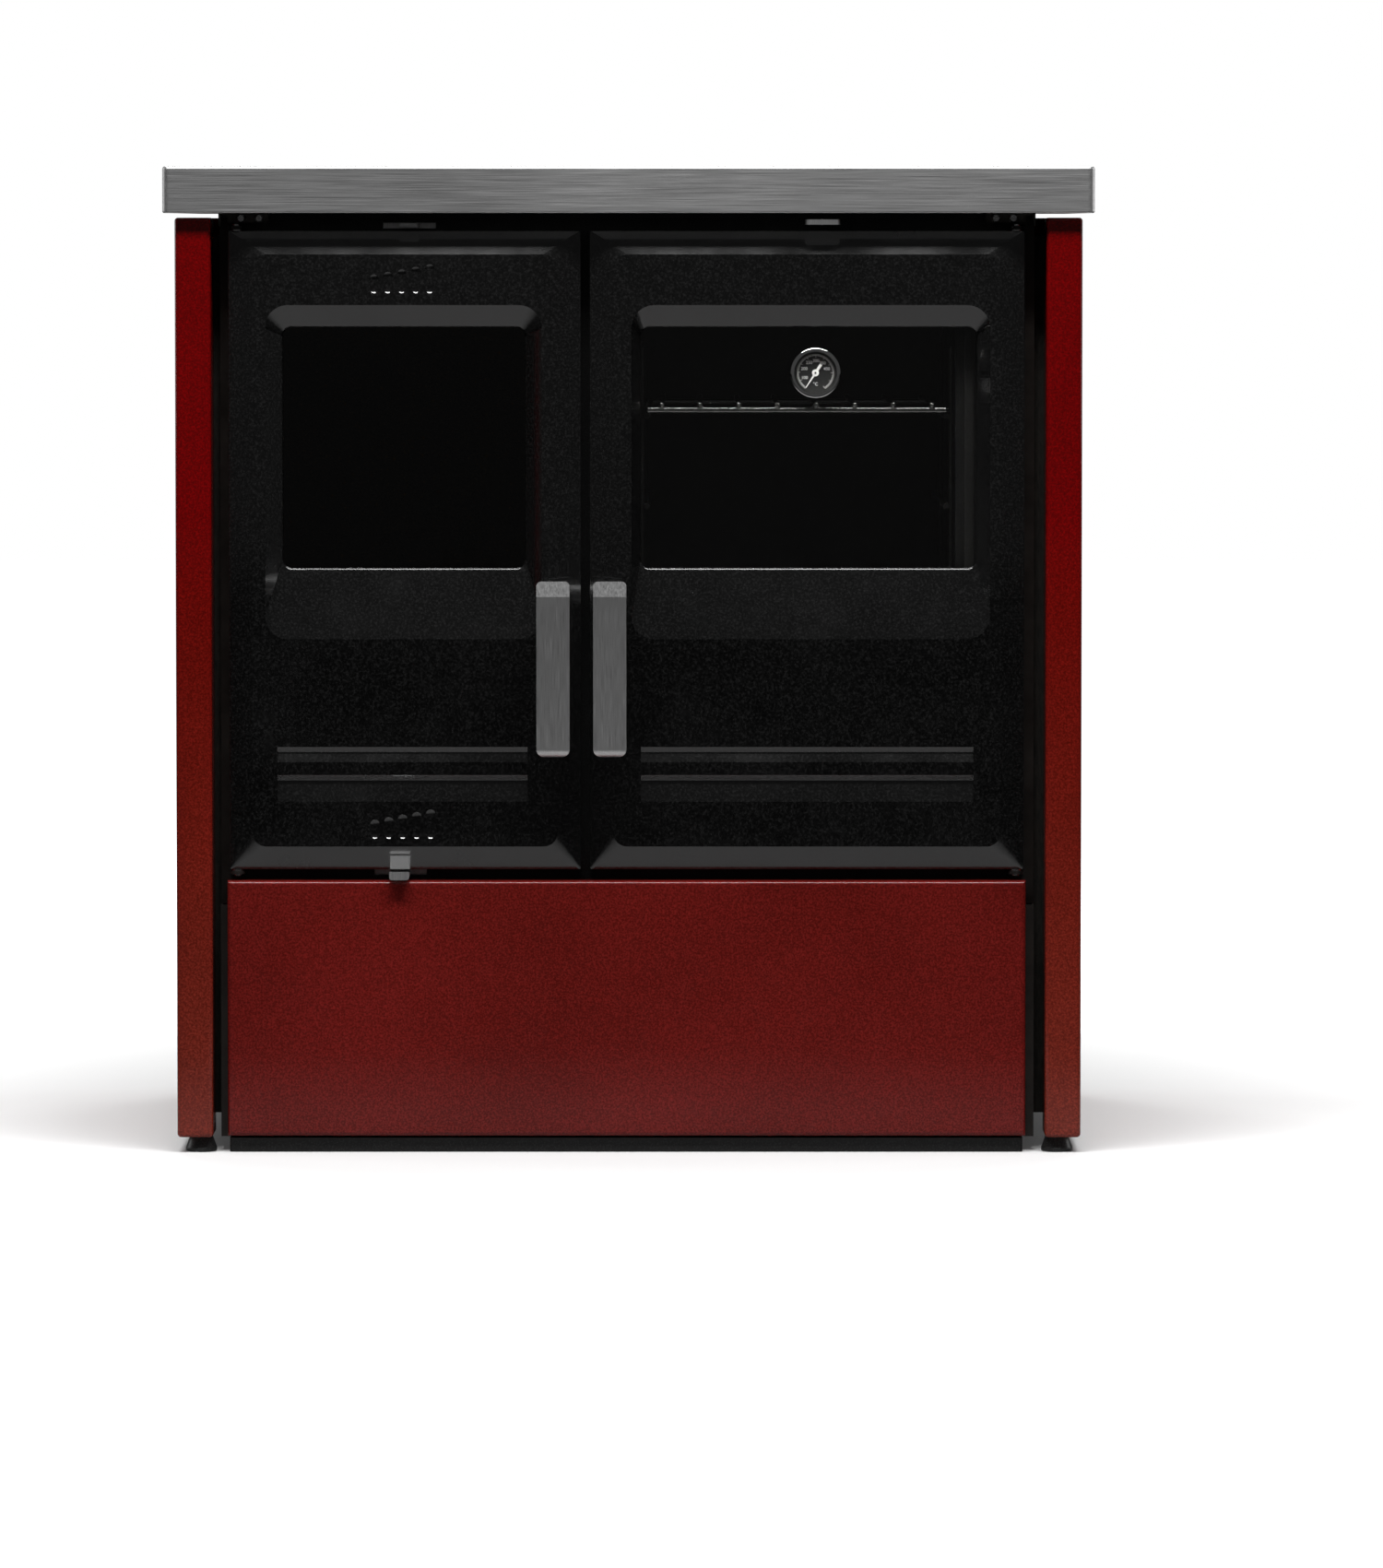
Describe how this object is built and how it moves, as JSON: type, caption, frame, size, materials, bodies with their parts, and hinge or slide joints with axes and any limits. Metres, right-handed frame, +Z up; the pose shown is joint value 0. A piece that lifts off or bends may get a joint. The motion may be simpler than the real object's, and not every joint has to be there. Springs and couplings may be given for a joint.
{
  "type": "wood-burning range cooker",
  "caption": "Free-standing wood-burning range cooker: glazed fire door and glazed oven door side by side, log drawer below, steel rim round a cast hob, lift-out hob rings, rear flue outlet.",
  "frame": {"origin": "middle of the cooker's footprint on the floor", "axes": "+Z up, -Y out of the doors, +X to the right when facing the doors"},
  "size_m": [0.8, 0.625, 0.85],
  "materials": {
    "red_enamel": "deep red vitreous enamel, glossy",
    "red_enamel_drawer": "dark red vitreous enamel, glossy",
    "black_enamel": "black vitreous enamel on cast iron, glossy",
    "black_paint": "black stove paint, satin",
    "frame_paint": "black heat-proof paint, matt",
    "foot_plastic": "dark moulded plastic",
    "brushed_rim": "stainless steel, brushed along the edge",
    "satin_steel": "stainless steel, satin",
    "galvanised_steel": "galvanised sheet, spangled",
    "grey_steel": "grey-brown primed steel sheet",
    "dark_steel": "dark heat-tinted steel",
    "oven_steel": "dull stainless oven lining",
    "bright_screws": "zinc-plated fasteners",
    "chromed_bezel": "polished chrome",
    "chromed_wire": "chromed wire",
    "cast_iron": "blackened cast iron, fine grain",
    "firebrick": "pale fireclay brick",
    "rope_seal": "dark glass-fibre tape",
    "mineral_wool": "mineral wool batt",
    "fire_glass": "clear ceramic glass, smoke-darkened",
    "oven_glass": "clear ceramic glass",
    "gauge_lens": "clear glass",
    "dial_black": "matt black dial with a white scale",
    "needle_white": "white enamelled pointer"
  },
  "bodies": {
    "root": {"adjuster_feet": "foot_plastic", "air_slide_guides": "galvanised_steel", "ash_pan": "dark_steel", "back_panel": "galvanised_steel", "base_pan": "black_paint", "bay_columns": "grey_steel", "bracket_screws": "bright_screws", "catch_studs": "bright_screws", "drawer_runners": "galvanised_steel", "fire_bricks": "firebrick", "fire_grate": "cast_iron", "firebox_casing": "dark_steel", "flue_box": "dark_steel", "flue_collar": "cast_iron", "front_frame": "frame_paint", "hinge_brackets": "dark_steel", "hinge_pins": "bright_screws", "hob_frame": "dark_steel", "hob_plate": "cast_iron", "insulation": "mineral_wool", "left_inner_wall": "grey_steel", "left_side_panel": "red_enamel", "log_guard": "cast_iron", "mid_floor": "galvanised_steel", "oven_box": "oven_steel", "oven_rack": "chromed_wire", "rack_guides": "chromed_wire", "right_inner_wall": "grey_steel", "right_side_panel": "red_enamel", "rim_brackets": "grey_steel", "worktop_rim": "brushed_rim"},
    "fire_door": {"fire_door_shell": "black_enamel", "fire_door_liner": "dark_steel", "fire_door_glass": "fire_glass", "fire_glass_seal": "rope_seal", "fire_glass_clips": "dark_steel", "fire_door_seal": "rope_seal"},
    "fire_handle": {"fire_handle": "satin_steel", "fire_latch_cam": "bright_screws"},
    "oven_door": {"oven_door_shell": "black_enamel", "oven_door_liner": "dark_steel", "oven_door_glass": "oven_glass", "oven_glass_seal": "rope_seal", "oven_glass_clips": "dark_steel", "oven_door_seal": "rope_seal", "thermometer_case": "chromed_bezel", "thermometer_dial": "dial_black", "thermometer_lens": "gauge_lens", "thermometer_probe": "bright_screws"},
    "oven_handle": {"oven_handle": "satin_steel", "oven_latch_cam": "bright_screws"},
    "thermometer_needle": {"thermometer_needle": "needle_white"},
    "log_drawer": {"drawer_front": "red_enamel_drawer", "drawer_box": "galvanised_steel", "drawer_slides": "galvanised_steel"},
    "upper_air_slider": {"upper_air_slider": "satin_steel"},
    "lower_air_slider": {"lower_air_slider": "satin_steel"},
    "damper": {"damper_pull": "satin_steel"},
    "hob_ring": {"hob_ring": "cast_iron"},
    "hob_disc": {"hob_disc": "cast_iron"}
  },
  "joints": [
    {"name": "fire_door_hinge", "type": "hinge", "parent": "root", "child": "fire_door", "pos_m": [-0.338, -0.258, 0.4805], "axis": [0, 0, -1], "range_deg": [0, 100]},
    {"name": "oven_door_hinge", "type": "hinge", "parent": "root", "child": "oven_door", "pos_m": [0.334, -0.258, 0.4805], "axis": [0, 0, 1], "range_deg": [0, 100]},
    {"name": "fire_handle_turn", "type": "hinge", "parent": "fire_door", "child": "fire_handle", "pos_m": [-0.0648, -0.258, 0.4805], "axis": [0, 1, 0], "range_deg": [0, 60]},
    {"name": "oven_handle_turn", "type": "hinge", "parent": "oven_door", "child": "oven_handle", "pos_m": [-0.0161, -0.258, 0.4805], "axis": [0, -1, 0], "range_deg": [0, 60]},
    {"name": "needle_turn", "type": "hinge", "parent": "oven_door", "child": "thermometer_needle", "pos_m": [0.1608, -0.258, 0.6726], "axis": [0, 1, 0], "range_deg": [0, 296]},
    {"name": "drawer_slide", "type": "slide", "parent": "root", "child": "log_drawer", "axis": [0, -1, 0], "range_m": [0, 0.38]},
    {"name": "upper_air_slide", "type": "slide", "parent": "root", "child": "upper_air_slider", "axis": [1, 0, 0], "range_m": [-0.012, 0.012]},
    {"name": "lower_air_slide", "type": "slide", "parent": "root", "child": "lower_air_slider", "axis": [1, 0, 0], "range_m": [-0.012, 0.012]},
    {"name": "damper_slide", "type": "slide", "parent": "root", "child": "damper", "axis": [0, -1, 0], "range_m": [0, 0.06]},
    {"name": "hob_ring_lift", "type": "slide", "parent": "root", "child": "hob_ring", "axis": [0, 0, 1], "range_m": [0, 0.1]},
    {"name": "hob_disc_lift", "type": "slide", "parent": "hob_ring", "child": "hob_disc", "axis": [0, 0, 1], "range_m": [0, 0.05]}
  ]
}
